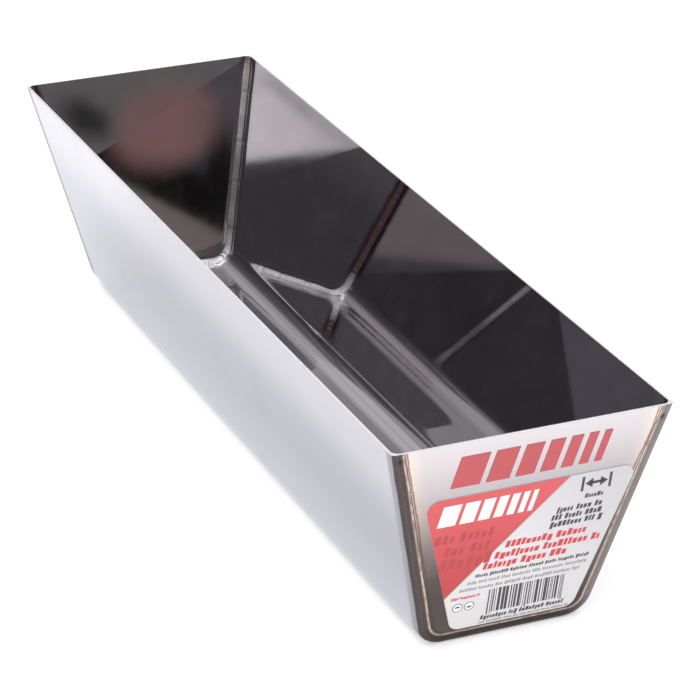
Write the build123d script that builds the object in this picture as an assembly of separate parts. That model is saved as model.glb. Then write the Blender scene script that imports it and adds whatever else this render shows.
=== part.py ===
from build123d import *
import os
from math import atan, degrees, hypot

# A mud pan: the open trough that a plasterer or drywall finisher holds in one hand and takes
# jointing compound from with a taping knife. One stainless sheet is bent along two rounded
# corners to make the bottom and both long walls. A flat plate closes each end, and TIG beads
# join it to that sheet up both corners and along the bottom edge. The beads are ground round
# on the outside and left as a small fillet on the inside, so no compound lodges in a corner.
#
# X runs along the pan, with the labelled end at +X. Y runs across it and Z is up.
# The origin is the centre of the underside, which is flat and stands on the floor.

# Driving dimensions, in mm
TOP_LENGTH = 356.0  # over the rim, outside to outside
TOP_WIDTH = 93.0
BASE_LENGTH = 316.0  # along the underside, its corners taken as sharp
BASE_WIDTH = 56.0
HEIGHT = 78.0
SHEET = 0.9  # thickness of the bent sheet and of both end plates
BEND_RADIUS = 9.0  # outside radius of the two bends along the bottom

# Corner welds
GROUND_RADIUS = 1.5  # the corner as ground off outside
FILLET_RADIUS = 2.0  # the bead's hollow face inside
WELD_REACH = 4.2  # how far a bead runs on to each sheet from the sharp outer corner
BOTTOM_RUN = 36.0  # length of the bead under the end plate, between the two corner beads

# Size label, a film stuck to the front end plate
LABEL_TOP = 59.4  # its edges, measured up the plate's slope from the sharp bottom edge
LABEL_BOTTOM = 4.8
LABEL_TOP_WIDTH = 71.2
LABEL_BOTTOM_WIDTH = 41.7
LABEL_OFFSET = 1.9  # stuck on a little off centre
LABEL_CORNER = 4.0
LABEL_FILM = 0.15

# Printed mark on the bare steel above the label: slanted bars that narrow from left to right
MARK_BOTTOM = 63.3
MARK_HEIGHT = 11.8
MARK_LEFT = -25.8
MARK_LENGTH = 50.0
MARK_BARS = 7
MARK_SHRINK = 0.8  # each bar's width over the one before
MARK_GAP = 2.0
MARK_SLANT = 2.4  # how far a bar's top leans towards +Y
INK = 0.1

# Worked out from the sizes above
SIDE_SLOPE = (TOP_WIDTH - BASE_WIDTH) / 2 / HEIGHT
END_SLOPE = (TOP_LENGTH - BASE_LENGTH) / 2 / HEIGHT
CLEAR = 10.0  # cutting shapes run this far past the rim and the underside


def section(base, slope, inset, bottom, top):
    """The pan's outline seen along one axis, its sides drawn `inset` inside the outer faces."""

    def half(z):
        return base / 2 + slope * z - inset * hypot(1, slope)

    corners = [(-half(bottom), bottom), (half(bottom), bottom), (half(top), top), (-half(top), top)]
    return Polygon(*corners, align=None)


def between_walls(inset, top):
    """A bar along X that fills the space between the long walls, with the bends along its bottom."""
    outline = section(BASE_WIDTH, SIDE_SLOPE, inset, inset, top)
    outline = fillet(outline.vertices().sort_by(Axis.Y)[:2], BEND_RADIUS - inset)
    return extrude(Plane.YZ * outline, amount=TOP_LENGTH, both=True)


def between_ends(inset):
    """A block that fills the space between the end plates and is larger than the pan otherwise."""
    outline = section(BASE_LENGTH, END_SLOPE, inset, -CLEAR, HEIGHT + CLEAR)
    return extrude(Plane.XZ * outline, amount=TOP_WIDTH, both=True)


def filled_pan(inset, top, corner_radius):
    """The pan as a solid block, `inset` inside its outer faces, with its end corners rounded."""
    block = between_walls(inset, top) & between_ends(inset)
    ends = block.faces().sort_by(Axis.X)
    corner_edges = []
    for end in (ends[0], ends[-1]):
        corner_edges += end.edges().sort_by(Axis.Z)[:-1]
    return fillet(corner_edges, corner_radius)


def write(name, shape):
    shape.label = name
    export_step(shape, os.path.join("parts", name + ".step"))


def front_face_plane():
    """The front end plate's outer face: local x is +Y and local y runs up the slope."""
    return Plane(origin=(BASE_LENGTH / 2, 0, 0), x_dir=(0, 1, 0), z_dir=(1, 0, -END_SLOPE))


def size_label():
    """A four-sided film with rounded corners, wider at the top like the plate it is stuck on."""
    left_top = (LABEL_OFFSET - LABEL_TOP_WIDTH / 2, LABEL_TOP)
    right_top = (LABEL_OFFSET + LABEL_TOP_WIDTH / 2, LABEL_TOP)
    right_bottom = (LABEL_OFFSET + LABEL_BOTTOM_WIDTH / 2, LABEL_BOTTOM)
    left_bottom = (LABEL_OFFSET - LABEL_BOTTOM_WIDTH / 2, LABEL_BOTTOM)
    outline = Polygon(left_bottom, right_bottom, right_top, left_top, align=None)
    outline = fillet(outline.vertices(), LABEL_CORNER)
    return extrude(front_face_plane() * outline, amount=LABEL_FILM)


def printed_mark():
    """The row of slanted ink bars, as separate solids."""
    widths = [MARK_SHRINK**i for i in range(MARK_BARS)]
    scale = (MARK_LENGTH - MARK_GAP * (MARK_BARS - 1)) / sum(widths)
    bars = []
    left = MARK_LEFT
    top = MARK_BOTTOM + MARK_HEIGHT
    for width in widths:
        right = left + width * scale
        corners = [
            (left, MARK_BOTTOM),
            (right, MARK_BOTTOM),
            (right + MARK_SLANT, top),
            (left + MARK_SLANT, top),
        ]
        bars.append(extrude(front_face_plane() * Polygon(*corners, align=None), amount=INK))
        left = right + MARK_GAP
    return Compound(children=bars)


os.makedirs("parts", exist_ok=True)

outside = filled_pan(0, HEIGHT, GROUND_RADIUS)
inside = filled_pan(SHEET, HEIGHT + CLEAR, FILLET_RADIUS)
shell = outside - inside

# The bent sheet stops where the beads begin, and each end is a plate framed by its beads.
sheet_length = between_ends(WELD_REACH)
plate_outline = between_walls(WELD_REACH, HEIGHT + CLEAR)
write("trough_sheet", shell & sheet_length)

# Each end's bead is laid in three runs: up one corner, along the bottom and up the other corner.
bottom_run = Box(2 * TOP_LENGTH, BOTTOM_RUN, 2 * BEND_RADIUS)
for end_name, direction in (("front", 1), ("rear", -1)):
    this_half = Pos(direction * TOP_LENGTH / 2, 0, 0) * Box(TOP_LENGTH, 2 * TOP_WIDTH, 4 * HEIGHT)
    end = (shell & this_half) - sheet_length
    write(end_name + "_end_plate", end & plate_outline)
    beads = end - plate_outline
    write(end_name + "_bottom_weld", beads & bottom_run)
    corner_beads = (beads - bottom_run).solids().sort_by(Axis.Y)
    write(end_name + "_left_weld", corner_beads[0])
    write(end_name + "_right_weld", corner_beads[-1])

write("size_label", size_label())
write("printed_mark", printed_mark())

print("long walls lean", round(degrees(atan(SIDE_SLOPE)), 1), "degrees")
print("end plates lean", round(degrees(atan(END_SLOPE)), 1), "degrees")
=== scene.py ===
import math
import random

import bmesh
import bpy
from mathutils import Matrix, Vector, noise


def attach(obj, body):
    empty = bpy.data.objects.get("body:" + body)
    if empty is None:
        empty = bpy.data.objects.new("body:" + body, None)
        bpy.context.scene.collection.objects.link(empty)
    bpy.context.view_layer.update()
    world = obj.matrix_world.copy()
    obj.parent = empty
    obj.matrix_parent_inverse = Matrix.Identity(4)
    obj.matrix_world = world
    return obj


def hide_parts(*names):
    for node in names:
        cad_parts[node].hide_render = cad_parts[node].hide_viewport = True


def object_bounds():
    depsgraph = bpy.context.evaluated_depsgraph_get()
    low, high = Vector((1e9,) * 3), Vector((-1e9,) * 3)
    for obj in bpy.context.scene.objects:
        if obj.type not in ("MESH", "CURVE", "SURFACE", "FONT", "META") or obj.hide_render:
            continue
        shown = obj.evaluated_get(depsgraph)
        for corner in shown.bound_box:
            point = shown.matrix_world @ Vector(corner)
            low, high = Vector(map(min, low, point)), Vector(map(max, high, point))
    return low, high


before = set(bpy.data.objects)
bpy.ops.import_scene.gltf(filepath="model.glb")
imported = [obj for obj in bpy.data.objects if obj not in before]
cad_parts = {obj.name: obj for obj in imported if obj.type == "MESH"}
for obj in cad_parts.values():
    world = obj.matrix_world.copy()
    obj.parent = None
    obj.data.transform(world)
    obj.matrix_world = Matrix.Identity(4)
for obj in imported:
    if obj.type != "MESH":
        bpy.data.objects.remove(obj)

bl_info = {
    "name": "Mud pan",
    "version": (1, 0, 0),
    "blender": (4, 5, 0),
    "location": "3D View > Sidebar > Mud pan",
    "description": "Builds a welded stainless mud pan with its label, floor, light and camera",
    "category": "Object",
}

# X runs along the pan, with the labelled end at +X. Y runs across it and Z is up.
MM = 0.001
CAD_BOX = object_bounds()
CAD_LOW, CAD_HIGH = Vector(CAD_BOX[0]), Vector(CAD_BOX[1])
LEFT, RIGHT = -1, 1
REAR, FRONT = -1, 1


# ---------------------------------------------------------------- settings


def length(name, description, millimetres):
    """A size that a user may change, kept in metres and given here in millimetres."""
    return bpy.props.FloatProperty(
        name=name, description=description, default=millimetres * MM, unit="LENGTH", precision=5
    )


def colour(name, description, value):
    return bpy.props.FloatVectorProperty(
        name=name, description=description, default=value, size=3, min=0, max=1, subtype="COLOR"
    )


def fraction(name, description, value):
    return bpy.props.FloatProperty(
        name=name, description=description, default=value, min=0, max=1, subtype="FACTOR"
    )


class PanSizes(bpy.types.PropertyGroup):
    sheet: length("Sheet", "Thickness of the bent sheet and the end plates", 0.9)
    base_length: length("Base length", "Underside along X, its corners taken as sharp", 316)
    base_width: length("Base width", "Underside across, its corners taken as sharp", 56)
    bend: length("Bend radius", "Outside radius of the two bends along the bottom", 9)
    reach: length("Weld reach", "How far a bead runs on to each sheet from the sharp corner", 4.2)
    ground: length("Ground radius", "Radius of the corner as ground off outside", 1.5)
    bead_leg: length("Bead leg", "How far the inside bead reaches from the sharp corner", 2.9)
    bottom_run: length("Bottom run", "Length of the bead under an end plate", 36)
    ripple: length("Ripple pitch", "Distance from one ripple of the bead to the next", 1.4)
    ripple_height: length("Ripple height", "Height of a ripple", 0.06)
    waviness: length("Waviness", "How far a wall strays from flat", 0.012)
    edge_break: length("Edge break", "Bevel along the sheared rim", 0.12)


class PanFinish(bpy.types.PropertyGroup):
    steel: colour("Steel", "Polished stainless inside", (0.62, 0.605, 0.62))
    # The three outside tones below paint reflected light and shade by height: lighter near the rim and
    # the floor, darker on the walls between.
    rim_steel_and_painted_light: colour("Steel outside, high", "Satin outside, near the rim", (0.48, 0.476, 0.50))
    outside_steel_and_painted_shade: colour("Steel outside", "Satin outside, on the walls", (0.325, 0.325, 0.36))
    low_steel_and_painted_light: colour("Steel outside, low", "Satin outside, near the floor", (0.45, 0.46, 0.53))
    plate: colour("Plate outside", "Outside of the end plates", (0.62, 0.59, 0.59))
    shine: fraction("Roughness inside", "Roughness of the polished inside", 0.022)
    bend_roughness: fraction("Bend roughness", "How much rougher the bends are inside", 0.075)
    satin: fraction("Roughness outside", "Roughness of the outside", 0.16)
    ground_steel: colour("Ground steel", "The ground-off bead outside", (0.46, 0.42, 0.40))
    scorched_steel: colour("Scorched steel", "The same where it is burnt brown", (0.050, 0.037, 0.033))
    bead: colour("Bead", "The bead inside", (0.80, 0.79, 0.75))
    brown: colour("Brown tint", "Heat tint next to a bead", (0.20, 0.105, 0.085))
    peach: colour("Peach tint", "Heat tint further out", (0.78, 0.66, 0.57))


class LabelStyle(bpy.types.PropertyGroup):
    film: colour("Film", "Silver-white film", (0.72, 0.715, 0.715))
    panel: colour("Panel grey", "Shaded panel behind the size", (0.50, 0.50, 0.51))
    red: colour("Red", "Red corner of the label", (0.66, 0.075, 0.080))
    deep_red: colour("Deep red", "Lower end of the red corner", (0.50, 0.022, 0.03))
    ink_red: colour("Ink red", "The mark printed on the steel", (0.50, 0.075, 0.085))
    dark: colour("Dark ink", "Dark print", (0.035, 0.035, 0.045))
    print_height: length("Print height", "How far print stands off the film", 0.015)


# ---------------------------------------------------------------- shader nodes


class Value:
    """A number socket that Python's operators work on by adding Math nodes."""

    def __init__(self, tree, socket):
        self.tree = tree
        self.socket = socket

    def maths(self, operation, *values):
        inputs = {i: value for i, value in enumerate(values)}
        return self.tree.add("ShaderNodeMath", {"operation": operation}, inputs)

    def __add__(self, other):
        return self.maths("ADD", self, other)

    def __sub__(self, other):
        return self.maths("SUBTRACT", self, other)

    def __rsub__(self, other):
        return self.maths("SUBTRACT", other, self)

    def __mul__(self, other):
        return self.maths("MULTIPLY", self, other)

    def __truediv__(self, other):
        return self.maths("DIVIDE", self, other)

    def __pow__(self, other):
        return self.maths("POWER", self, other)

    __radd__ = __add__
    __rmul__ = __mul__

    def absolute(self):
        return self.maths("ABSOLUTE", self)

    def smooth(self, low, high):
        """0 below low, 1 above high, with an eased step between."""
        settings = {"interpolation_type": "SMOOTHSTEP"}
        return self.tree.add("ShaderNodeMapRange", settings, {0: self, 1: low, 2: high})


class Tree:
    """The nodes of one material or world."""

    def __init__(self, owner):
        owner.use_nodes = True
        self.nodes = owner.node_tree.nodes
        self.links = owner.node_tree.links
        self.nodes.clear()

    def add(self, kind, settings=None, inputs=None, output=0):
        """Makes a node, sets it, then fills its sockets with values or links. Gives one output."""
        node = self.nodes.new(kind)
        for name, value in (settings or {}).items():
            if name == "stops":
                self.set_stops(node.color_ramp, value)
            else:
                setattr(node, name, value)
        for name, value in (inputs or {}).items():
            if isinstance(value, Value):
                self.links.new(value.socket, node.inputs[name])
            else:
                node.inputs[name].default_value = value
        return Value(self, node.outputs[output]) if node.outputs else None

    @staticmethod
    def set_stops(ramp, stops):
        while len(ramp.elements) < len(stops):
            ramp.elements.new(1.0)
        for element, (position, shade) in zip(ramp.elements, stops):
            element.position = position
            element.color = (*shade, 1.0)

    def split(self, vector):
        parts = self.add("ShaderNodeSeparateXYZ", None, {0: vector})
        outputs = parts.socket.node.outputs
        return [Value(self, outputs[i]) for i in range(3)]

    def place(self):
        """Where the surface is, in metres in the pan's frame."""
        return self.add("ShaderNodeTexCoord", output="Object")

    def height(self):
        """How high the surface is above the floor, in metres."""
        return self.split(self.place())[2]

    def stretched(self, scale):
        """The same, scaled by a different amount along each axis."""
        return self.add("ShaderNodeVectorMath", {"operation": "MULTIPLY"}, {0: self.place(), 1: scale})

    def noise(self, vector, scale, detail=3.0, roughness=0.5):
        inputs = {"Vector": vector, "Scale": scale, "Detail": detail, "Roughness": roughness}
        return self.add("ShaderNodeTexNoise", None, inputs)

    def number(self, name):
        """A number kept on the mesh's points."""
        return self.add("ShaderNodeAttribute", {"attribute_name": name}, output="Fac")

    def ramp(self, factor, stops):
        return self.add("ShaderNodeValToRGB", {"stops": stops}, {0: factor})

    def mix(self, factor, first, second, blend="MIX"):
        """Mixes two colours, each a link or three numbers."""
        settings = {"data_type": "RGBA", "blend_type": blend}
        inputs = {0: factor}
        for slot, shade in ((6, first), (7, second)):
            inputs[slot] = shade if isinstance(shade, Value) else (*shade, 1.0)
        return self.add("ShaderNodeMix", settings, inputs, output=2)

    def surface(self, inputs, bump=None, bump_height=0.0):
        """The Principled shader, with the sockets named in inputs, and the material's output."""
        if bump is not None:
            inputs["Normal"] = self.add(
                "ShaderNodeBump", None, {"Strength": 1.0, "Distance": bump_height, "Height": bump}
            )
        filled = {
            name: (*value, 1.0) if isinstance(value, tuple) and len(value) == 3 else value
            for name, value in inputs.items()
        }
        shader = self.add("ShaderNodeBsdfPrincipled", None, filled)
        self.add("ShaderNodeOutputMaterial", None, {0: shader})


def new_material(name):
    material = bpy.data.materials.new(name)
    return material, Tree(material)


# ---------------------------------------------------------------- materials


def scratches(tree):
    """Fine polishing lines along X, from 0 to 1."""
    return tree.noise(tree.stretched((6.0, 900.0, 900.0)), 1.0, 2.0)


def smudges(tree):
    """Broad patches where the polish has dulled, from 0 to 1."""
    return tree.noise(tree.place(), 38.0, 4.0, 0.62).smooth(0.42, 0.72)


def heat_stops(steel, brown, peach, line):
    """Colours away from a bead over 10 mm: brown at its edge, then peach, then bare steel.
    line is how far the brown reaches, in mm."""
    straw = tuple(0.5 * s + 0.5 * p for s, p in zip(steel, peach))
    return [
        (0.0, brown),
        (0.05 * line, brown),
        (0.1 * line, peach),
        (0.1 * line + 0.12, straw),
        (0.1 * line + 0.4, steel),
    ]


def polished_inside(finish):
    """Mirror polish, browned beside the beads, with a few dull and dusty patches."""
    material, tree = new_material("polished inside")
    steel = finish.steel
    away = tree.number("from_bead")
    wobble = tree.noise(tree.place(), 260.0, 2.0) - 0.5
    heat = tree.number("scorch")
    line = 1.0 - (away + wobble * 0.7).smooth(0.0, 0.6)
    clean = tree.mix(line * (heat * 0.75 + 0.2), steel, finish.brown)
    scorched = 1.0 - (away + wobble * 1.5).smooth(0.6, 2.6)
    tint = tree.mix(scorched * heat * 0.8, clean, finish.brown * 0.5)
    dull = smudges(tree)
    haze = (0.50, 0.49, 0.50)
    shade = tree.mix(dull * 0.05, tint, haze)
    fine = scratches(tree)
    bent = tree.number("bent") * (fine * 0.4 + 0.8)
    rough = finish.shine + dull * 0.015 + (fine - 0.5) * 0.012 + bent * finish.bend_roughness
    blots = tree.noise(tree.place(), 120.0, 4.0, 0.6).smooth(0.5, 0.78)
    dust = 1.0 - dull * 0.012 - blots * 0.025
    tree.surface({"Base Color": shade, "Metallic": dust, "Roughness": rough}, fine, 0.0000003)
    return material


def satin_outside(finish):
    """The outside of the bent sheet: satin, with painted reflected light and shade by height (lighter
    near the rim and the floor, darker halfway up), a painted shadow along the underside bend, and
    ground beside the beads.
    """
    material, tree = new_material("satin outside")
    away = tree.number("from_bead")
    fine = scratches(tree)
    ground = 1.0 - (away + (fine - 0.5) * 2.0).smooth(0.0, 3.2)
    z = tree.height()
    # under is a painted shadow colour for the underside bend; scoured and haze are the steel's own.
    under, scoured, haze = (0.13, 0.13, 0.15), (0.50, 0.47, 0.45), (0.50, 0.50, 0.55)
    # Painted reflected light and shade: lighter near the floor, darker halfway up, lighter again near
    # the rim.
    shade = tree.mix(z.smooth(0.0, 0.036), finish.low_steel_and_painted_light, finish.outside_steel_and_painted_shade)
    shade = tree.mix(z.smooth(0.042, 0.070), shade, finish.rim_steel_and_painted_light)
    # Painted shadow: a dark band along the underside bend, next to the floor.
    shade = tree.mix(z.smooth(0.0034, 0.0012) * 0.9, shade, under)
    shade = tree.mix(ground * 0.5, shade, scoured)
    cloud = smudges(tree)
    shade = tree.mix(cloud * 0.06, shade, haze)
    rough = finish.satin + ground * 0.2 + cloud * 0.05 + (fine - 0.5) * 0.08
    tree.surface({"Base Color": shade, "Metallic": 1.0, "Roughness": rough}, fine, 0.000002)
    return material


def plate_outside(finish):
    """The outside of an end plate, with a peach bloom along the bead and painted dark low down, a
    painted reflection of the floor's shadow.
    """
    material, tree = new_material("plate outside")
    away = tree.number("from_bead")
    slow = (tree.noise(tree.place(), 90.0, 2.0) - 0.5) * 1.2
    quick = (tree.noise(tree.place(), 700.0, 2.0) - 0.5) * 0.5
    stops = heat_stops(finish.plate, finish.brown, finish.peach, 1.0)
    stops[0] = (0.0, finish.peach)
    shade = tree.ramp((away + slow + quick) / 10.0, stops)
    painted_floor_shadow, haze = (0.075, 0.060, 0.057), (0.55, 0.53, 0.53)
    # Painted shadow: darker towards the floor, standing in for the shadowed floor that the plate
    # reflects.
    shade = tree.mix(tree.height().smooth(0.082, 0.022) * 0.97, shade, painted_floor_shadow)
    fine = scratches(tree)
    cloud = smudges(tree)
    shade = tree.mix(cloud * 0.08, shade, haze)
    rough = finish.satin + cloud * 0.08 + (1.0 - away.smooth(0.0, 3.0)) * 0.1
    tree.surface({"Base Color": shade, "Metallic": 1.0, "Roughness": rough}, fine, 0.0000015)
    return material


def sheared_edge(finish):
    """The rim, where the guillotine left the sheet bright and a little torn."""
    material, tree = new_material("sheared edge")
    grain = tree.noise(tree.place(), 1800.0, 3.0)
    bright, torn = (0.90, 0.90, 0.90), (0.72, 0.71, 0.70)
    shade = tree.mix(grain.smooth(0.4, 0.8), bright, torn)
    rough = 0.5 + grain * 0.2
    tree.surface({"Base Color": shade, "Metallic": 0.4, "Roughness": rough}, grain, 0.00002)
    return material


def ground_bead(finish):
    """The bead outside: ground round and streaked, with a broken beige line by the plate."""
    material, tree = new_material("ground bead")
    across = tree.number("across")
    along = tree.number("along")
    lines = tree.add("ShaderNodeCombineXYZ", None, {0: along * 0.12, 1: across * 26.0})
    streaks = tree.noise(lines, 1.0, 4.0, 0.6)
    speckle = tree.noise(tree.place(), 2200.0, 3.0, 0.7)
    wall = finish.outside_steel_and_painted_shade
    beige, gap = (0.66, 0.56, 0.48), (0.22, 0.17, 0.145)
    burnt, streak, fleck = (0.035, 0.026, 0.024), (0.06, 0.045, 0.04), (0.48, 0.41, 0.37)
    place = across + (streaks - 0.5) * 0.06 + (tree.noise(tree.place(), 150.0, 3.0) - 0.5) * 0.08
    bands = [
        tree.ramp(
            place,
            [
                (0.0, wall),
                (0.26, wall),
                (0.31, base * 0.6),
                (0.50, base),
                (0.60, base * 0.7),
                (0.78, base),
                (0.86, beige),
                (0.90, beige),
                (0.96, finish.brown * 0.7),
            ],
        )
        for base in (finish.ground_steel, finish.scorched_steel)
    ]
    scorch = tree.number("scorch")
    shade = tree.mix(scorch, *bands)
    broken = tree.noise(tree.place(), 330.0, 3.0, 0.6).smooth(0.42, 0.62)
    line = place.smooth(0.78, 0.84) * place.smooth(0.97, 0.92)
    shade = tree.mix(line * broken * 0.75, shade, gap)
    shade = tree.mix(tree.number("joint"), shade, burnt)
    worked = place.smooth(0.24, 0.32) * (1.0 - scorch * 0.55)
    shade = tree.mix(worked * streaks.smooth(0.5, 0.72) * 0.8, shade, streak)
    shade = tree.mix(worked * speckle.smooth(0.52, 0.75) * 0.5, shade, fleck)
    rough = 0.30 + speckle * 0.28
    tree.surface({"Base Color": shade, "Metallic": 1.0, "Roughness": rough}, speckle + streaks, 0.00010)
    return material


def inside_bead(finish):
    """The bead inside, as welded: bright, dull or scorched, with brown along both its edges, and
    painted shade halfway up.
    """
    material, tree = new_material("inside bead")
    edge = 1.0 - (tree.number("across") * 2.0 - 1.0).absolute()
    heat = tree.number("scorch")
    dull, soot, painted_shade_grey = (0.42, 0.40, 0.37), (0.40, 0.36, 0.34), (0.26, 0.235, 0.22)
    scorched, crater = (0.20, 0.105, 0.10), (0.16, 0.13, 0.12)
    spots = tree.noise(tree.place(), 420.0, 3.0, 0.6)
    lit = (edge + (spots - 0.5) * 0.3).smooth(0.0, 0.2)
    shade = tree.mix(lit, finish.brown, finish.bead)
    stretches = tree.noise(tree.place(), 110.0, 1.0).smooth(0.42, 0.62)
    shade = tree.mix(stretches * 0.35, shade, dull)
    shade = tree.mix(spots.smooth(0.5, 0.75) * 0.5, shade, soot)
    # Painted shade: the bead is darkened in a band halfway up its height.
    z = tree.height()
    middle = z.smooth(0.008, 0.014) * z.smooth(0.052, 0.038)
    shade = tree.mix(middle * 0.75, shade, painted_shade_grey)
    shade = tree.mix((heat + (spots - 0.5) * 0.5).smooth(0.1, 0.9), shade, scorched)
    shade = tree.mix(tree.number("joint") * (spots * 0.8), shade, crater)
    rough = 0.20 + spots * 0.24
    grain = tree.noise(tree.place(), 1500.0, 3.0)
    tree.surface({"Base Color": shade, "Metallic": 0.5, "Roughness": rough}, grain, 0.00002)
    return material


def film(name, first, second, turn, speck, speckled):
    """Printed film that turns from one colour to another. turn(tree) is how far it has turned."""
    material, tree = new_material(name)
    turned = turn(tree)
    grain = tree.noise(tree.place(), 1400.0, 3.0)
    shade = tree.mix(turned, first, second)
    shade = tree.mix(grain * speckled, shade, speck)
    rough = 0.34 + grain * 0.1
    tree.surface({"Base Color": shade, "Roughness": rough, "Coat Weight": 0.3}, grain, 0.000004)
    return material


def label_film(style):
    """Silver-white, greyer towards the top right."""

    def shaded(tree):
        x, y, z = tree.split(tree.place())
        return (y * 12.0 + z * 10.0).smooth(0.15, 1.0) * 0.75

    return film("label film", style.film, style.panel, shaded, (0.5, 0.5, 0.52), 0.05)


def red_film(style):
    """The red corner, deeper towards its lower tip."""

    def depth(tree):
        return tree.height().smooth(0.058, 0.016)

    return film("red film", style.red, style.deep_red, depth, (0.4, 0.02, 0.03), 0.06)


def ink(name, shade, worn):
    """Printing ink. worn is how much of what is under it shows through its thin spots."""
    material, tree = new_material(name)
    specks = tree.noise(tree.place(), 1700.0, 4.0, 0.65)
    thin = tuple(min(1.0, c + worn) for c in shade)
    mixed = tree.mix(specks.smooth(0.5, 0.8), shade, thin)
    tree.surface({"Base Color": mixed, "Roughness": 0.38 + specks * 0.12}, specks, 0.000004)
    return material


# ---------------------------------------------------------------- the pan's shape


class Shape:
    """Gives points of the pan. `station` is a distance round the section's outer face from the
    middle of the bottom, + towards the right wall. `depth` is how far in from that face, square
    to it. `back` is how far in from the end plate's outer face, square to it."""

    def __init__(self, sizes):
        self.sizes = sizes
        self.height = CAD_HIGH.z - CAD_LOW.z
        self.side_slope = (CAD_HIGH.y - CAD_LOW.y - sizes.base_width) / 2 / self.height
        self.end_slope = (CAD_HIGH.x - CAD_LOW.x - sizes.base_length) / 2 / self.height
        self.side_lean = math.atan(self.side_slope)
        self.end_lean = math.atan(self.end_slope)
        self.turn = math.pi / 2 - self.side_lean
        self.flat = sizes.base_width / 2 - sizes.bend * math.tan(self.turn / 2)
        self.wall_start = self.flat + sizes.bend * self.turn
        wall_foot = sizes.bend * (1 - math.cos(self.turn))
        self.wall_length = (self.height - wall_foot) / math.cos(self.side_lean)
        self.rim = self.wall_start + self.wall_length
        self.skirt = sizes.reach - sizes.bead_leg  # bare steel between a bead and its piece's edge

    def across(self, station, depth):
        """(y, z) of a point on the section."""
        side = -1 if station < 0 else 1
        run = abs(station)
        bend = self.sizes.bend
        if run <= self.flat:
            return side * run, depth
        angle = min((run - self.flat) / bend, self.turn)
        y = self.flat + (bend - depth) * math.sin(angle)
        z = bend - (bend - depth) * math.cos(angle)
        if run > self.wall_start:
            usable = self.wall_length - depth * math.tan(self.side_lean)
            climb = (run - self.wall_start) / self.wall_length * usable
            y += climb * math.sin(self.side_lean)
            z += climb * math.cos(self.side_lean)
        return side * y, z

    def bent(self, station):
        """1 on the bends' upper part, easing to 0 below it and on the walls."""
        middle = (self.flat + self.wall_start) / 2 + 1.5 * MM
        beyond = abs(abs(station) - middle) - (self.wall_start - self.flat) / 2
        return min(1.0, max(0.0, 0.5 - beyond / (3 * MM)))

    def end_x(self, z, back):
        return self.sizes.base_length / 2 + self.end_slope * z - back / math.cos(self.end_lean)

    def at_end(self, end, station, depth, back):
        """A point near an end plate."""
        y, z = self.across(station, depth)
        return Vector((end * self.end_x(z, back), y, z))

    def on_plate(self, end, y, climb, out):
        """A point on an end plate's outer face. climb is up its slope, out is off the face."""
        x = self.sizes.base_length / 2 + climb * math.sin(self.end_lean) + out * math.cos(self.end_lean)
        return Vector((end * x, y, climb * math.cos(self.end_lean) - out * math.sin(self.end_lean)))


    def printed(self, y, climb, out):
        """A point on the front plate's outer face, given in millimetres."""
        return self.on_plate(FRONT, y * MM, climb * MM, out * MM)


def spaced(start, stop, step):
    """Even steps from start to stop, about `step` apart."""
    count = max(1, round(abs(stop - start) / step))
    return [start + (stop - start) * i / count for i in range(count + 1)]


# How far apart points stand round the section, on the walls and on the bends
WALL_STEP, BEND_STEP = 1.6 * MM, 0.7 * MM


def section_stations(shape, start, stop, wall_step, bend_step):
    """Stations round the section, closer together on the bends."""
    breaks = [-shape.rim, -shape.wall_start, -shape.flat, shape.flat, shape.wall_start, shape.rim]
    stations = [start]
    edges = [start] + [b for b in breaks if start < b < stop] + [stop]
    for low, high in zip(edges, edges[1:]):
        middle = abs(low + high) / 2
        on_bend = shape.flat < middle < shape.wall_start
        stations += spaced(low, high, bend_step if on_bend else wall_step)[1:]
    return stations


# ---------------------------------------------------------------- mesh making

# Material slots of the sheet and the plates, and then of a bead
INNER, OUTER, CUT = range(3)
GROUND, FILLET, BARE, BEAD_END = range(4)


class Builder:
    """Collects points and faces, with a material index for each face and numbers for each point."""

    def __init__(self, *numbers):
        self.points = []
        self.faces = []
        self.slots = []
        self.numbers = {name: [] for name in numbers}

    def point(self, place, **values):
        self.points.append(place)
        for name, kept in self.numbers.items():
            kept.append(values.get(name, 0.0))
        return len(self.points) - 1

    def face(self, corners, slot=0):
        self.faces.append(corners)
        self.slots.append(slot)

    def grid(self, rows, slot=0, closed=False):
        """Faces between rows of point numbers. closed joins each row's end to its start."""
        for near, far in zip(rows, rows[1:]):
            count = len(near)
            for i in range(count if closed else count - 1):
                j = (i + 1) % count
                self.face((near[i], near[j], far[j], far[i]), slot)

    def slab(self, outline, place, low, high, slot=0):
        """A closed flat slab. place(y, climb, out) gives a point for each corner of the outline."""
        lower = [self.point(place(y, climb, low)) for y, climb in outline]
        upper = [self.point(place(y, climb, high)) for y, climb in outline]
        self.face(tuple(reversed(lower)), slot)
        self.face(tuple(upper), slot)
        self.grid([lower, upper], slot, closed=True)

    def piece(self, name, materials, smooth_angle=math.radians(35)):
        """The finished object, with its faces turned outwards."""
        mesh = bpy.data.meshes.new(name)
        mesh.from_pydata(self.points, [], self.faces)
        mesh.polygons.foreach_set("material_index", self.slots)
        for key, values in self.numbers.items():
            mesh.attributes.new(key, "FLOAT", "POINT").data.foreach_set("value", values)
        for material in materials:
            mesh.materials.append(material)
        work = bmesh.new()
        work.from_mesh(mesh)
        bmesh.ops.recalc_face_normals(work, faces=work.faces)
        for edge in work.edges:
            edge.smooth = edge.is_manifold and edge.calc_face_angle(0) < smooth_angle
        for face in work.faces:
            face.smooth = True
        work.to_mesh(mesh)
        work.free()
        piece = bpy.data.objects.new(name, mesh)
        bpy.context.scene.collection.objects.link(piece)
        return piece


def hand_over(piece, node):
    """The piece rides on the pan's one body and stands for its CAD node."""
    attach(piece, "root")
    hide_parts(node)


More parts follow.
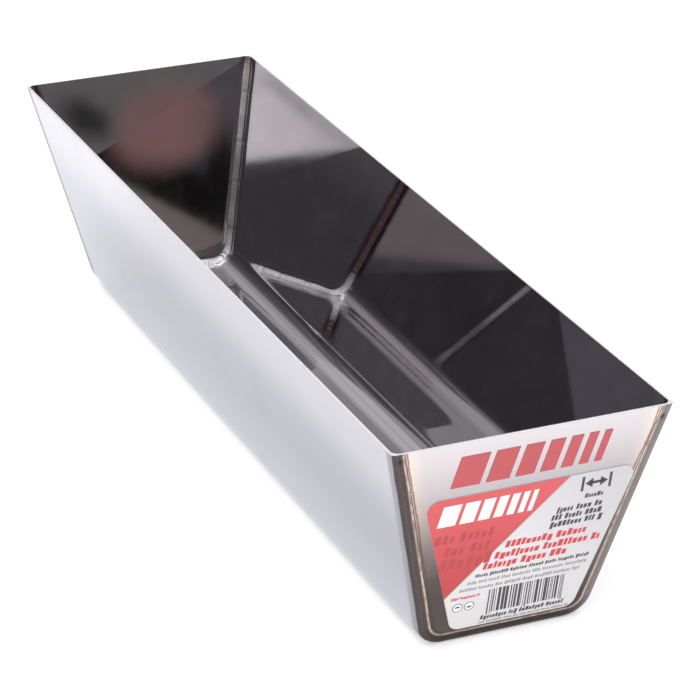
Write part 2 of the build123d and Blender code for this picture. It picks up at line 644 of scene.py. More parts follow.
# How brown each run of bead is inside, with the steel beside it: 0 bright, 1 scorched
UNDER = 0
HEAT = {
    REAR: {LEFT: 0.85, UNDER: 0.0, RIGHT: 0.12},
    FRONT: {LEFT: 0.12, UNDER: 0.05, RIGHT: 0.12},
}
# The same outside, where the bead underneath is nearly black
OUTSIDE_HEAT = {
    REAR: {LEFT: 0.0, UNDER: 0.95, RIGHT: 0.2},
    FRONT: {LEFT: 0.86, UNDER: 0.95, RIGHT: 0.45},
}
TURN_START, TURN_HEIGHT = 6 * MM, 7 * MM  # where the heat of the bottom run gives way to a corner's
RIM_BAND = 8 * MM  # how far below the rim a corner is scorched again
RIM_SCORCH = 0.55


def bead_heat(end, station, height):
    """The heat beside a bead at a station, more towards the rim."""
    climb = min(1.0, max(0.0, (height - TURN_START) / TURN_HEIGHT))
    own = HEAT[end][LEFT if station < 0 else RIGHT]
    rim_scorch = RIM_SCORCH * max(0.0, (height - (CAD_HIGH.z - RIM_BAND)) / RIM_BAND)
    return min(1.0, HEAT[end][UNDER] * (1 - climb) + own * climb + rim_scorch)


def stray(place, sizes):
    """How far a wall strays from flat at a place, from smooth noise."""
    return noise.noise(place / 0.055) * sizes.waviness + noise.noise(place / 0.16) * sizes.waviness


# ---------------------------------------------------------------- bent sheet


class PAN_OT_trough_sheet(bpy.types.Operator):
    """Builds the bent sheet: bottom, bends and both long walls"""

    bl_idname = "mud_pan.trough_sheet"
    bl_label = "Bent sheet"

    def execute(self, context):
        sizes = context.scene.mud_pan_sizes
        finish = context.scene.mud_pan_finish
        shape = Shape(sizes)
        builder = Builder("from_bead", "scorch", "bent")
        stations = section_stations(shape, -shape.rim, shape.rim, WALL_STEP, BEND_STEP)
        columns = spaced(-1.0, 1.0, 0.0125)
        inside = [self.row(builder, shape, s, sizes.sheet, columns) for s in stations]
        rim_break = shape.rim - sizes.edge_break
        stations = [-rim_break, *stations[1:-1], rim_break]
        outside = [self.row(builder, shape, s, 0.0, columns) for s in stations]
        builder.grid(inside, INNER)
        builder.grid(outside, OUTER)
        for last, side in ((0, LEFT), (-1, RIGHT)):
            top = self.row(builder, shape, side * shape.rim, sizes.edge_break, columns)
            builder.grid([outside[last], top, inside[last]], CUT)
            for column in (0, -1):
                builder.face((outside[last][column], top[column], inside[last][column]), CUT)
        for column in (0, -1):
            builder.grid([[row[column] for row in outside], [row[column] for row in inside]], CUT)
        materials = [polished_inside(finish), satin_outside(finish), sheared_edge(finish)]
        piece = builder.piece("bent_sheet", materials)
        hand_over(piece, "trough_sheet")
        return {"FINISHED"}

    @staticmethod
    def row(builder, shape, station, depth, columns):
        """Points along X at one station. The wall strays from flat away from rim, bends and ends."""
        sizes = shape.sizes
        y, z = shape.across(station, depth)
        half = shape.end_x(z, sizes.reach)
        climb = (abs(station) - shape.wall_start) / shape.wall_length
        held = max(0.0, math.sin(math.pi * min(1.0, climb))) if climb > 0 else 0.0
        side = -1 if y < 0 else 1
        bent = shape.bent(station)
        row = []
        for column in columns:
            x = column * half
            ease = held * (1 - column * column)
            bow = ease * stray(Vector((x, side * 0.05, z)), sizes)
            away = (half - abs(x)) * math.cos(shape.end_lean) + (shape.skirt if depth else 0.0)
            place = Vector((x, y - side * bow, z))
            heat = bead_heat(-1 if x < 0 else 1, station, z) if depth else 0.0
            row.append(builder.point(place, from_bead=away / MM, scorch=heat, bent=bent))
        return row


# ---------------------------------------------------------------- end plates


class PAN_OT_end_plates(bpy.types.Operator):
    """Builds the flat plate at each end"""

    bl_idname = "mud_pan.end_plates"
    bl_label = "End plates"

    def execute(self, context):
        sizes = context.scene.mud_pan_sizes
        finish = context.scene.mud_pan_finish
        shape = Shape(sizes)
        materials = [polished_inside(finish), plate_outside(finish), sheared_edge(finish)]
        for name, end in (("front", FRONT), ("rear", REAR)):
            piece = self.plate(shape, end, materials, name + "_plate")
            hand_over(piece, name + "_end_plate")
        return {"FINISHED"}

    @staticmethod
    def plate(shape, end, materials, name):
        sizes = shape.sizes
        builder = Builder("from_bead", "scorch")
        stations = section_stations(shape, shape.flat, shape.rim, WALL_STEP, BEND_STEP)
        columns = spaced(-1.0, 1.0, 0.03)

        def row(station, back):
            half, z = shape.across(station, sizes.reach)
            points = []
            for column in columns:
                y = column * half
                side = (half - abs(y)) * math.cos(shape.side_lean)
                away = min(side, z - sizes.reach) + (shape.skirt if back else 0.0)
                hold = (1 - column * column) * math.sin(math.pi * min(1, z / shape.height))
                bow = hold * stray(Vector((end * 0.2, y, z)), sizes)
                place = Vector((end * (shape.end_x(z, back) - abs(bow)), y, z))
                heat = bead_heat(end, math.copysign(station, y), z) if back else 0.0
                points.append(builder.point(place, from_bead=away / MM, scorch=heat))
            return points

        inner = [row(station, sizes.sheet) for station in stations]
        stations[-1] -= sizes.edge_break
        outer = [row(station, 0.0) for station in stations]
        top = row(shape.rim, sizes.edge_break)
        builder.grid(inner, INNER)
        builder.grid(outer, OUTER)
        builder.grid([outer[0], inner[0]], OUTER)
        builder.grid([outer[-1], top, inner[-1]], CUT)
        for column in (0, -1):
            builder.grid([[row[column] for row in outer], [row[column] for row in inner]], OUTER)
            builder.face((outer[-1][column], top[column], inner[-1][column]), CUT)
        return builder.piece(name, materials)


# ---------------------------------------------------------------- welds

CORNER_FADE = 14 * MM  # how far up a corner the black of the bottom run reaches outside
FIRST_STOP = (4, 9)  # mm from a run's start to the first stop mark
STOP_SPACING = (2.5, 9, 14, 19)  # mm between stop marks, of which one is drawn each time
STOP_WIDTH = 0.6 * MM
RIPPLE_CURVE = 0.9 * MM  # how far a stop mark's ends trail its middle
PIT_DEPTH = 0.3 * MM
PIT_LENGTH = 1.1 * MM
PIT_BELOW_RIM = {LEFT: 3.0 * MM, RIGHT: 4.5 * MM}


class PAN_OT_welds(bpy.types.Operator):
    """Builds the beads: ground round outside, rippled inside"""

    bl_idname = "mud_pan.welds"
    bl_label = "Weld beads"

    OUTSIDE_POINTS = 14
    INSIDE_POINTS = 12
    POINTS_A_RIPPLE = 5

    def execute(self, context):
        sizes = context.scene.mud_pan_sizes
        finish = context.scene.mud_pan_finish
        shape = Shape(sizes)
        materials = [
            ground_bead(finish),
            inside_bead(finish),
            polished_inside(finish),
            sheared_edge(finish),
        ]
        half_run = sizes.bottom_run / 2
        runs = (
            ("left", -shape.rim, -half_run),
            ("bottom", -half_run, half_run),
            ("right", half_run, shape.rim),
        )
        for end_name, end in (("front", FRONT), ("rear", REAR)):
            for run_name, start, stop in runs:
                builder = Builder("across", "along", "from_bead", "scorch", "joint")
                self.sweep(builder, shape, end, start, stop)
                name = end_name + "_" + run_name
                piece = builder.piece(name + "_bead", materials, math.radians(50))
                hand_over(piece, name + "_weld")
        return {"FINISHED"}

    def sweep(self, builder, shape, end, start, stop):
        """Rings of points along the run, joined into a closed solid."""
        sizes = shape.sizes
        step = sizes.ripple / self.POINTS_A_RIPPLE
        joints = self.joints(start, stop, end)
        rings = []
        for station in section_stations(shape, start, stop, step, step):
            ring = self.ring(shape, end, station, joints)
            rings.append([builder.point(place, **numbers) for place, numbers, slot in ring])
            slots = [slot for place, numbers, slot in ring]
        for near, far in zip(rings, rings[1:]):
            for i, slot in enumerate(slots):
                j = (i + 1) % len(near)
                builder.face((near[i], near[j], far[j], far[i]), slot)
        builder.face(tuple(rings[0]), BEAD_END)
        builder.face(tuple(reversed(rings[-1])), BEAD_END)

    @staticmethod
    def joints(start, stop, end):
        """Stations where the welder stopped and started again."""
        dice = random.Random(round((start + 2 * end) * 1000))
        places = []
        station = start + dice.uniform(*FIRST_STOP) * MM
        while station < stop:
            places.append(station)
            station += dice.choice(STOP_SPACING) * dice.uniform(0.8, 1.2) * MM
        return places

    def ring(self, shape, end, station, joints):
        """One cross-section, from the wall's outer face round the outside to the plate's inner
        face, and back over the inside bead to the wall. Each point has its numbers and the
        material of the face after it."""
        sizes = shape.sizes
        points = []
        along = station / MM
        height = shape.across(station, sizes.sheet)[1]
        heat = bead_heat(end, station, height)
        last_outside, last_inside = self.OUTSIDE_POINTS - 1, self.INSIDE_POINTS - 1
        for i in range(self.OUTSIDE_POINTS):
            across = i / last_outside
            depth, back = self.ground_face(sizes, across, station)
            pit = self.pit(shape, end, station, across)
            place = shape.at_end(end, station, depth, back + pit * PIT_DEPTH)
            brown = self.outside_heat(shape, end, station)
            numbers = {"across": across, "along": along, "scorch": brown, "joint": pit}
            points.append((place, numbers, GROUND if i < last_outside else BARE))
        skirt = {"from_bead": shape.skirt / MM, "scorch": heat}
        points.append((shape.at_end(end, station, sizes.reach, sizes.sheet), skirt, BARE))
        for i in range(self.INSIDE_POINTS):
            across = i / last_inside
            curved = station + RIPPLE_CURVE * (2 * across - 1) ** 2
            marks = [math.exp(-(((curved - joint) / STOP_WIDTH) ** 2)) for joint in joints]
            stop_mark = max(marks, default=0.0)
            depth, back = self.bead_face(sizes, across, station, stop_mark)
            place = shape.at_end(end, station, depth, back)
            numbers = {"across": across, "along": along, "scorch": heat, "joint": stop_mark}
            points.append((place, numbers, FILLET if i < last_inside else BARE))
        points.append((shape.at_end(end, station, sizes.sheet, sizes.reach), skirt, BARE))
        return points

    @staticmethod
    def outside_heat(shape, end, station):
        """How brown the ground bead is at a station."""
        side = min(1.0, max(-1.0, station / shape.flat))
        blend = 0.5 + 0.5 * side
        heat = OUTSIDE_HEAT[end]
        corner = heat[LEFT] * (1 - blend) + heat[RIGHT] * blend
        low = max(0.0, 1.0 - max(0.0, abs(station) - shape.flat) / CORNER_FADE)
        return corner + (heat[UNDER] - corner) * low

    @staticmethod
    def pit(shape, end, station, across):
        """A small burnt pit where the front beads end below the rim."""
        if end == REAR:
            return 0.0
        below_rim = shape.rim - abs(station)
        along = (below_rim - PIT_BELOW_RIM[LEFT if station < 0 else RIGHT]) / PIT_LENGTH
        return math.exp(-(along**2) - ((across - 0.62) / 0.13) ** 2)

    @staticmethod
    def ground_face(sizes, across, station):
        """(depth, back) on the outside: flat on the wall, tightly rounded at the corner, then a
        hollow along the plate's edge where the grinder bit."""
        lead, bend = 0.22, 0.46
        turn = math.pi / 2 * min(1.0, max(0.0, (across - lead) / (bend - lead)))
        depth = sizes.ground * (1 - math.cos(turn))
        back = sizes.ground * (1 - math.sin(turn))
        if across < lead:
            back += (sizes.reach - sizes.ground) * (1 - across / lead)
        if across > bend:
            run = (across - bend) / (1 - bend)
            depth += (sizes.reach - sizes.ground) * run
            spot = Vector((station / 0.006, across * 4.0, 4.7))
            bite = math.sin(math.pi * run) * (0.10 + 0.05 * noise.noise(spot))
            lip = math.exp(-(((run - 0.78) / 0.07) ** 2)) * 0.06
            back += max(0.0, bite - lip) * MM
        return depth, back

    @staticmethod
    def bead_face(sizes, across, station, stop_mark):
        """(depth, back) on the inside bead, from the plate to the wall: a little hollow, with
        curved ripples across it, swells where the welder paused and dents where a bead stopped."""
        slow = noise.noise(Vector((station / 0.009, 2.3, 0.0)))
        leg = sizes.bead_leg * (0.95 + 0.12 * slow)
        corner = sizes.sheet
        depth = leg + (corner - leg) * across
        back = corner + (leg - corner) * across
        pull = (leg - corner) / 2 * (across * (1 - across))
        phase = 2 * math.pi * (station / sizes.ripple + 0.45 * (2 * across - 1) ** 2 + 0.4 * slow)
        crest = (0.5 + 0.5 * math.sin(phase)) ** 1.5
        swell = 0.25 * max(0.0, slow) - 0.16 * stop_mark
        rise = math.sin(math.pi * across) * (sizes.ripple_height * crest + swell * MM)
        return depth - pull + rise, back - pull + rise


# ---------------------------------------------------------------- label and print


def rounded(corners, radius, steps=7):
    """An outline with its corners rounded. Corners go anticlockwise."""
    outline = []
    count = len(corners)
    for i, corner in enumerate(corners):
        here = Vector(corner)
        before = (Vector(corners[i - 1]) - here).normalized()
        after = (Vector(corners[(i + 1) % count]) - here).normalized()
        half = before.angle(after) / 2
        centre = here + (before + after).normalized() * radius / math.sin(half)
        first = here + before * radius / math.tan(half) - centre
        last = here + after * radius / math.tan(half) - centre
        sweep = first.angle_signed(last)
        for k in range(steps + 1):
            arm = Matrix.Rotation(-sweep * k / steps, 2) @ first
            outline.append(tuple(centre + arm))
    return outline


def slanted(left, right, bottom, top, lean):
    """A bar's outline, its top moved to the right by lean for each unit of height."""
    shift = lean * (top - bottom)
    return [(left, bottom), (right, bottom), (right + shift, top), (left + shift, top)]


def shrinking_bars(left, bottom, total, tall, count=7, shrink=0.8, gap=0.04, lean=0.2):
    """The maker's generic mark: slanted bars, each narrower than the one before."""
    widths = [shrink**i for i in range(count)]
    space = gap * total
    scale = (total - space * (count - 1)) / sum(widths)
    bars = []
    for width in widths:
        bars.append(slanted(left, left + width * scale, bottom, bottom + tall, lean))
        left += width * scale + space
    return bars


class PAN_OT_size_label(bpy.types.Operator):
    """Builds the label's film and everything printed on it"""

    bl_idname = "mud_pan.size_label"
    bl_label = "Size label"

    TOP, BOTTOM = 59.4, 4.8
    TOP_WIDTH, BOTTOM_WIDTH = 71.2, 41.7
    OFFSET = 1.9
    CORNER = 4.0
    FILM = 0.15
    RED_TIP = 18.7  # how high the red corner's lower tip is, on the left edge
    RED_END = 14.4  # where its slanted side meets the top edge
    SLANT = 0.21

    def execute(self, context):
        style = context.scene.mud_pan_label
        self.place = Shape(context.scene.mud_pan_sizes).printed
        self.rise = style.print_height / MM
        self.dice = random.Random(14)
        materials = [
            label_film(style),
            red_film(style),
            ink("dark print", style.dark, 0.10),
            ink("red print", (0.62, 0.03, 0.045), 0.10),
            ink("white print", (0.86, 0.86, 0.86), 0.03),
            ink("faint print", (0.44, 0.042, 0.050), 0.04),
            ink("grey print", (0.30, 0.30, 0.31), 0.10),
        ]
        FILM, RED, DARK, RED_INK, WHITE, FAINT, GREY = range(7)
        builder = Builder()
        self.builder = builder
        film = rounded(self.corners(self.TOP, self.BOTTOM), self.CORNER)
        builder.slab(film, self.place, 0.0, self.FILM, FILM)
        self.red_corner(RED, GREY)
        self.mark(WHITE)
        self.faint_lines(FAINT)
        self.size_sign(DARK)
        self.lines_of_print(DARK, RED_INK, GREY)
        self.bar_code(DARK)
        self.signs(DARK, WHITE)
        piece = builder.piece("label", materials)
        hand_over(piece, "size_label")
        return {"FINISHED"}

    def edge(self, side, climb, inset=0.0):
        """The label's side edge at a height."""
        share = (climb - self.BOTTOM) / (self.TOP - self.BOTTOM)
        half = self.BOTTOM_WIDTH / 2 + share * (self.TOP_WIDTH - self.BOTTOM_WIDTH) / 2
        return self.OFFSET + side * (half - inset)

    def corners(self, top, bottom):
        return [
            (self.edge(LEFT, bottom), bottom),
            (self.edge(RIGHT, bottom), bottom),
            (self.edge(RIGHT, top), top),
            (self.edge(LEFT, top), top),
        ]

    def print_on(self, outline, slot, layer=1):
        """One printed shape, as a film of ink on the label."""
        low = self.FILM + (layer - 1) * self.rise
        self.builder.slab(outline, self.place, low, low + self.rise, slot)

    def red_corner(self, red, grey):
        """The red upper left of the label and the grey line along its slanted edge."""
        tip, far_y, line_width = self.RED_TIP, self.RED_END, 0.28
        tip_y = self.edge(LEFT, tip)
        corner = rounded(self.corners(self.TOP, self.BOTTOM), self.CORNER)
        top_left = [p for p in corner if p[1] > self.TOP - self.CORNER * 1.3 and p[0] < 0]
        outline = [(tip_y, tip), (far_y, self.TOP)] + top_left
        self.print_on(outline, red)
        run = Vector((far_y - tip_y, self.TOP - tip)).normalized() * line_width
        line = [
            (tip_y, tip),
            (tip_y + run.y, tip - run.x),
            (far_y + run.y, self.TOP - run.x),
            (far_y, self.TOP),
        ]
        self.print_on(line, grey)

    def mark(self, white):
        for bar in shrinking_bars(-28.6, 48.6, 31.5, 8.0):
            self.print_on(bar, white, layer=2)

    def faint_lines(self, faint):
        """Three lines of print in a slightly deeper red."""
        rows = ((-28.8, -8.5, 41.5, 3.4), (-25.0, -9.5, 36.3, 3.4), (-26.0, -8.0, 30.6, 4.2))
        for row in rows:
            self.words(*row, faint, layer=2, gap=0.5)

    def size_sign(self, dark):
        """A generic sign for length: an arrow each way between two end ticks."""
        left, right, middle = 19.3, 28.6, 55.0
        tick_width, tick_height, shaft = 0.45, 2.9, 0.55  # halves
        head_length, head_height, clear, shaft_inset = 2.6, 1.9, 0.8, 2.4

        def block(start, stop, half_height):
            self.print_on(slanted(start, stop, middle - half_height, middle + half_height, 0.0), dark)

        for tick in (left, right):
            block(tick - tick_width, tick + tick_width, tick_height)
        block(left + shaft_inset, right - shaft_inset, shaft)
        for tip, way in ((left + clear, 1), (right - clear, -1)):
            base = tip + way * head_length
            head = [(tip, middle), (base, middle - head_height), (base, middle + head_height)]
            self.print_on(head if way > 0 else head[::-1], dark)

    def words(self, start, stop, climb, tall, slot, layer=1, gap=0.30):
        """A line of filler blocks, grouped as words, that stands for a line of print."""
        y = start
        dice = self.dice
        while y < stop - 0.3 * tall:
            for i in range(dice.randint(3, 9)):
                wide = tall * dice.uniform(0.34, 0.62)
                if y + wide > stop:
                    break
                low = climb - (0.22 * tall if dice.random() < 0.1 else 0)
                high = climb + tall * (1.0 if dice.random() < 0.35 or i == 0 else 0.74)
                self.print_on(slanted(y, y + wide, low, high, self.SLANT), slot, layer)
                y += wide + gap * tall * 0.55
            y += tall * 0.42

    def lines_of_print(self, dark, red, grey):
        """Lines of filler, as (start, stop, climb, height, ink)."""
        rows = (
            (20.6, 27.8, 49.2, 1.7, dark),
            (11.6, 27.9, 45.3, 2.1, dark),
            (10.2, 27.9, 42.4, 2.1, dark),
            (10.0, 27.9, 39.6, 2.1, dark),
            (-4.3, 24.6, 35.2, 2.6, red),
            (-7.5, 29.6, 31.4, 2.6, red),
            (-10.9, 17.5, 27.8, 2.6, red),
            (-13.1, 26.0, 25.1, 1.25, dark),
            (-15.4, 25.2, 22.6, 1.25, grey),
            (-17.8, 24.0, 20.1, 1.25, grey),
            (-20.2, -10.4, 17.3, 1.0, red),
            (-9.2, 19.6, 6.9, 1.6, dark),
            (-9.6, 21.3, 5.3, 0.9, grey),
        )
        for row in rows:
            self.words(*row)

    def bar_code(self, dark):
        """Upright bars of uneven width."""
        y, stop, top = -7.4, 18.6, 19.0
        widths, gaps = (0.25, 0.25, 0.45, 0.45, 0.7, 0.95), (0.22, 0.3, 0.45, 0.6)
        long_foot, short_foot = 8.6, 9.4
        while y < stop:
            wide = self.dice.choice(widths)
            long_bar = y < -5.9 or 4.6 < y < 6.0 or y > 17.6
            self.print_on(slanted(y, y + wide, long_foot if long_bar else short_foot, top, 0.0), dark)
            y += wide + self.dice.choice(gaps)

    def signs(self, dark, white):
        """Two small round signs, each a ring round a plain shape."""
        middle = 13.8
        circle = [k * math.tau / 28 for k in range(28)]
        for y, turn in ((-17.6, 0.0), (-13.6, math.pi)):
            for radius, slot, layer in ((1.75, dark, 1), (1.5, white, 2)):
                ring = [(y + radius * math.cos(a), middle + radius * math.sin(a)) for a in circle]
                self.print_on(ring, slot, layer)
            angles = [turn + math.pi * k / 9 for k in range(10)]
            drop = [(y + 0.85 * math.cos(a), middle + 0.68 * math.sin(a)) for a in angles]
            self.print_on(drop, dark, 3)


class PAN_OT_printed_mark(bpy.types.Operator):
    """Builds the slanted bars printed on the steel above the label"""

    bl_idname = "mud_pan.printed_mark"
    bl_label = "Printed mark"

    LEFT_EDGE, BOTTOM = -25.8, 63.3
    TOTAL, TALL = 50.0, 11.8
    LEAN = 2.4  # how far a bar's top stands to the right of its foot
    CORNER = 0.12
    INK = 0.1

    def execute(self, context):
        style = context.scene.mud_pan_label
        shape = Shape(context.scene.mud_pan_sizes)
        builder = Builder()
        lean = self.LEAN / self.TALL
        for bar in shrinking_bars(self.LEFT_EDGE, self.BOTTOM, self.TOTAL, self.TALL, lean=lean):
            builder.slab(rounded(bar, self.CORNER, 3), shape.printed, 0.0, self.INK)
        piece = builder.piece("mark", [ink("ink on steel", style.ink_red, 0.07)])
        hand_over(piece, "printed_mark")
        return {"FINISHED"}


# ---------------------------------------------------------------- stage

CAMERA_AZIMUTH = 67.46  # degrees round from looking along +Y
CAMERA_ELEVATION = 24.05
CAMERA_ROLL = -0.38
CAMERA_DISTANCE = 1.0979
CAMERA_LENS = 162.27
CAMERA_SENSOR = 36
CAMERA_REACH = 20
# How far the pan's middle stands right of the picture's middle and above it, at that distance
CAMERA_PAN = -0.0134
CAMERA_LIFT = 0.0129
AIM_HEIGHT = 0.045

# What the steel reflects of the studio round the pan. Each patch of sky is painted over those
# before it: its outline, the azimuth and elevation of its middle, half its width and half its
# height, its turn and the softness of its edge, all in degrees, then its colour and brightness.
# Azimuth is 0 towards -Y and 90 towards +X.
BOX, OVAL = 0, 1
ALL_ROUND = 400
GREY = (1.0, 0.97, 1.0)
ROSE = (1.0, 0.54, 0.55)
SURROUNDINGS = (
    # ceiling, brighter towards the lamp overhead
    (BOX, 0, 68.5, ALL_ROUND, 25, 0, 2.0, GREY, 0.20),
    (BOX, 0, 73, ALL_ROUND, 25, 0, 2.0, (0.95, 0.97, 1.05), 0.27),
    (BOX, 0, 77.5, ALL_ROUND, 25, 0, 2.0, GREY, 0.62),
    (BOX, 0, 87, ALL_ROUND, 30, 0, 2.0, GREY, 0.85),
    (BOX, 0, 96, ALL_ROUND, 30, 0, 4.0, (0.95, 0.97, 1.08), 2.9),
    (BOX, 0, 99, ALL_ROUND, 21, 0, 3.0, GREY, 0.62),
    (BOX, 77.4, 58.7, 1.6, 1.3, 0, 0.7, (0.95, 0.97, 1.08), 0.34),
    # softbox at the rear
    (BOX, -88, 39, 40, 17.7, 0, 2.0, GREY, 0.62),
    (BOX, -82, 33, 1.6, 1.6, 0, 0.8, GREY, 0.44),
    # light wall of the room behind the camera, over dark furniture
    (BOX, 61.3, 15.6, 2.5, 1.5, 0, 0.3, GREY, 0.075),
    (BOX, 61.8, 18.14, 3.0, 2.0, -16.9, 0.05, (1.0, 0.955, 0.98), 1.12),
    (BOX, 60.9, 17.05, 1.2, 0.12, 27, 0.10, GREY, 0.65),
    # red and dark things in front of it, which an end plate shows by itself
    (BOX, 107.5, 8, 3.0, 1.6, 0, 0.4, (1.0, 0.96, 0.97), 0.15),
    (OVAL, 106.6, 7.8, 0.5, 0.3, -40, 0.2, GREY, 0.035),
    (OVAL, 108, 7.5, 0.8, 0.6, 10, 0.3, ROSE, 0.24),
    # and which an end plate shows together with a wall
    (BOX, 76.5, 14.5, 2.5, 2.5, 0, 0.5, (0.97, 0.95, 1.05), 0.13),
    (BOX, 76.5, 13.4, 2.2, 0.7, 4, 0.25, GREY, 0.01),
    (OVAL, 75.8, 13.9, 1.0, 0.4, 75, 0.2, GREY, 0.012),
    (OVAL, 77.2, 14.7, 1.0, 0.8, -30, 0.3, ROSE, 0.36),
    (BOX, 76.4, 12.6, 2.0, 0.6, 12, 0.03, (1.0, 0.86, 0.80), 0.29),
    # pale shelves higher up
    (BOX, 49.5, 42.5, 2.2, 2.0, 0, 0.8, (0.98, 0.94, 1.04), 0.15),
    (BOX, -60, 20, 3.5, 3.0, 0, 1.2, (0.98, 0.94, 1.06), 0.24),
    (BOX, 109.9, 28.8, 3.0, 1.2, 0, 0.5, GREY, 0.20),
    (BOX, 126.6, 29.6, 3.0, 1.5, 22.2, 0.07, (1.0, 0.86, 0.87), 0.42),
)
DARK_ROOM = (0.120, 0.110, 0.120)
BACKDROP = (1.0, 1.0, 1.0)
FLOOR_SPAN = 6.0
MOST_BOUNCES, MIRROR_BOUNCES = 16, 10  # light bounces many times between the polished walls
FLOOR_GLOW = 0.42  # the floor is a lit white table, so its shadows stay pale
# Lamps: azimuth, elevation, distance in metres, width in metres, watts and colour. They light
# paint and paper only, since the patches above are what shows in the steel.
LAMPS = {
    "key": (-35, 52, 2.6, 1.6, 15, (1.0, 0.99, 0.98)),
    "front": (45, 48, 2.6, 1.6, 16, (1.0, 0.99, 0.98)),
    "side": (150, 52, 2.6, 1.6, 17, (1.0, 0.99, 0.98)),
    "fill": (88, 8, 2.6, 0.5, 12, (1.0, 0.96, 0.95)),
}


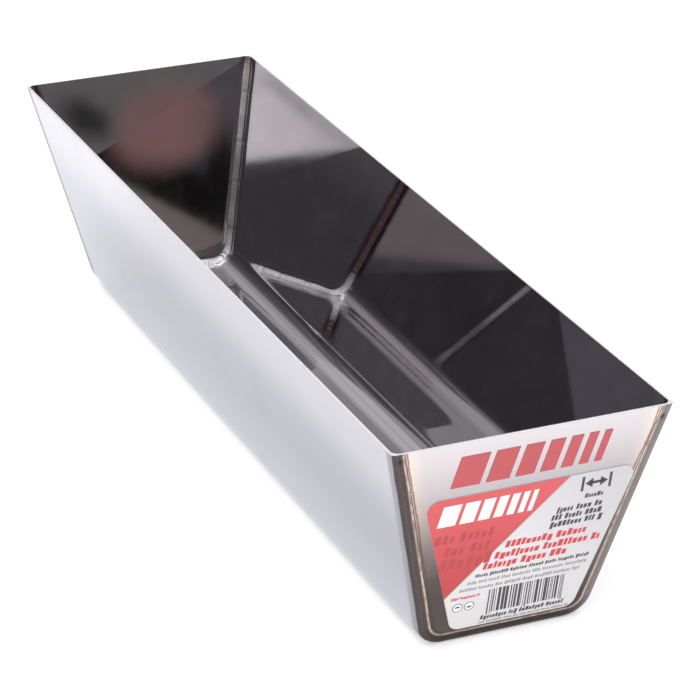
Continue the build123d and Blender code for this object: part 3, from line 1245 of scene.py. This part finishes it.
class PAN_OT_stage(bpy.types.Operator):
    """Sets up the floor, the studio's surroundings and the camera"""

    bl_idname = "mud_pan.stage"
    bl_label = "Stage"

    def execute(self, context):
        scene = context.scene
        scene.view_settings.view_transform = "Standard"
        scene.cycles.max_bounces = MOST_BOUNCES
        scene.cycles.glossy_bounces = MIRROR_BOUNCES
        self.floor()
        self.surroundings(scene)
        for name, settings in LAMPS.items():
            self.lamp(scene, name, *settings)
        self.camera(scene)
        return {"FINISHED"}

    @staticmethod
    def floor():
        """A wide pale sheet, faintly mottled like paper."""
        builder = Builder()
        marks = spaced(-FLOOR_SPAN / 2, FLOOR_SPAN / 2, FLOOR_SPAN / 8)
        builder.grid([[builder.point(Vector((x, y, 0.0))) for x in marks] for y in marks])
        material, tree = new_material("paper floor")
        mottle = tree.noise(tree.place(), 12.0, 4.0)
        shade = tree.mix(mottle * 0.4, (0.90, 0.90, 0.905), (0.87, 0.87, 0.88))
        lit = {"Emission Color": (1.0, 1.0, 1.0), "Emission Strength": FLOOR_GLOW}
        tree.surface({"Base Color": shade, "Roughness": 0.9, **lit}, mottle, 0.0002)
        floor = builder.piece("floor", [material])

    @staticmethod
    def surroundings(scene):
        world = bpy.data.worlds.new("studio")
        scene.world = world
        tree = Tree(world)
        x, y, z = tree.split(tree.add("ShaderNodeTexCoord", output="Generated"))
        azimuth = x.maths("ARCTAN2", x, 0.0 - y) * math.degrees(1)
        elevation = z.maths("ARCSINE", z) * math.degrees(1)
        shade = DARK_ROOM
        for patch in SURROUNDINGS:
            outline, middle, height, half_width, half_height, turn, soft, tint, brightness = patch
            cos, sin = math.cos(math.radians(turn)), math.sin(math.radians(turn))
            right, up = azimuth - middle, elevation - height
            along = (right * cos + up * sin).absolute()
            rise = (up * cos - right * sin).absolute()
            if outline == OVAL:
                reach = ((along / half_width) ** 2 + (rise / half_height) ** 2) ** 0.5
                edge = soft / half_height
                inside = 1.0 - reach.smooth(1 - edge, 1 + edge)
            else:
                inside = 1.0 - rise.smooth(half_height - soft, half_height + soft)
                if half_width < ALL_ROUND:
                    inside = inside * (1.0 - along.smooth(half_width - soft, half_width + soft))
            shade = tree.mix(inside, shade, tuple(brightness * c for c in tint))
        clutter = tree.noise(tree.add("ShaderNodeTexCoord", output="Generated"), 150.0, 3.0, 0.55)
        shade = tree.mix(1.0, shade, (clutter - 0.5) * 0.5 + 1.0, "MULTIPLY")
        seen = tree.add("ShaderNodeLightPath", output="Is Camera Ray")
        shade = tree.mix(seen, shade, BACKDROP)
        glow = tree.add("ShaderNodeBackground", None, {0: shade, 1: 1.0})
        tree.add("ShaderNodeOutputWorld", None, {0: glow})

    @staticmethod
    def lamp(scene, name, azimuth, elevation, distance, width, watts, tint):
        """A square soft lamp that faces the pan."""
        data = bpy.data.lights.new(name, "AREA")
        data.size = width
        data.energy = watts
        data.color = tint
        lamp = bpy.data.objects.new(name, data)
        lamp.matrix_world = PAN_OT_stage.looking_back(azimuth, elevation).to_4x4()
        lamp.matrix_world.translation = lamp.matrix_world.to_3x3().col[2] * distance
        lamp.visible_camera = False
        lamp.visible_glossy = False
        scene.collection.objects.link(lamp)

    @staticmethod
    def looking_back(azimuth, elevation):
        """Axes of a camera or lamp that stands in a direction from the pan and faces it."""
        azimuth, elevation = math.radians(azimuth), math.radians(elevation)
        level = math.cos(elevation)
        back = Vector((math.sin(azimuth) * level, -math.cos(azimuth) * level, math.sin(elevation)))
        right = Vector((0, 0, 1)).cross(back).normalized()
        return Matrix((right, back.cross(right), back)).transposed()

    @staticmethod
    def camera(scene):
        turned = PAN_OT_stage.looking_back(CAMERA_AZIMUTH, CAMERA_ELEVATION)
        turned = turned @ Matrix.Rotation(math.radians(CAMERA_ROLL), 3, "Z")
        middle = Vector((0, 0, AIM_HEIGHT))
        place = middle + turned @ Vector((-CAMERA_PAN, -CAMERA_LIFT, CAMERA_DISTANCE))
        data = bpy.data.cameras.new("camera")
        data.lens = CAMERA_LENS
        data.sensor_width = CAMERA_SENSOR
        data.clip_end = CAMERA_REACH
        camera = bpy.data.objects.new("camera", data)
        camera.matrix_world = Matrix.Translation(place) @ turned.to_4x4()
        scene.collection.objects.link(camera)
        bpy.context.scene.camera = camera


# ---------------------------------------------------------------- panel and registration

OPERATORS = (
    PAN_OT_trough_sheet,
    PAN_OT_end_plates,
    PAN_OT_welds,
    PAN_OT_size_label,
    PAN_OT_printed_mark,
    PAN_OT_stage,
)


class PAN_PT_panel(bpy.types.Panel):
    """Sizes and finishes of the mud pan, and a button for each step"""

    bl_idname = "PAN_PT_panel"
    bl_label = "Mud pan"
    bl_space_type = "VIEW_3D"
    bl_region_type = "UI"
    bl_category = "Mud pan"

    def draw(self, context):
        for key in GROUPS:
            group = getattr(context.scene, key)
            box = self.layout.box()
            for name in group.__annotations__:
                box.prop(group, name)
        for operator in OPERATORS:
            self.layout.operator(operator.bl_idname)


GROUPS = {"mud_pan_sizes": PanSizes, "mud_pan_finish": PanFinish, "mud_pan_label": LabelStyle}


def register():
    for group in GROUPS.values():
        bpy.utils.register_class(group)
    for name, group in GROUPS.items():
        setattr(bpy.types.Scene, name, bpy.props.PointerProperty(type=group))
    for operator in OPERATORS:
        bpy.utils.register_class(operator)
    bpy.utils.register_class(PAN_PT_panel)


def unregister():
    bpy.utils.unregister_class(PAN_PT_panel)
    for operator in reversed(OPERATORS):
        bpy.utils.unregister_class(operator)
    for name, group in GROUPS.items():
        delattr(bpy.types.Scene, name)
        bpy.utils.unregister_class(group)


def main():
    register()
    for operator in OPERATORS:
        group, name = operator.bl_idname.split(".")
        getattr(getattr(bpy.ops, group), name)()


if __name__ == "__main__":
    main()
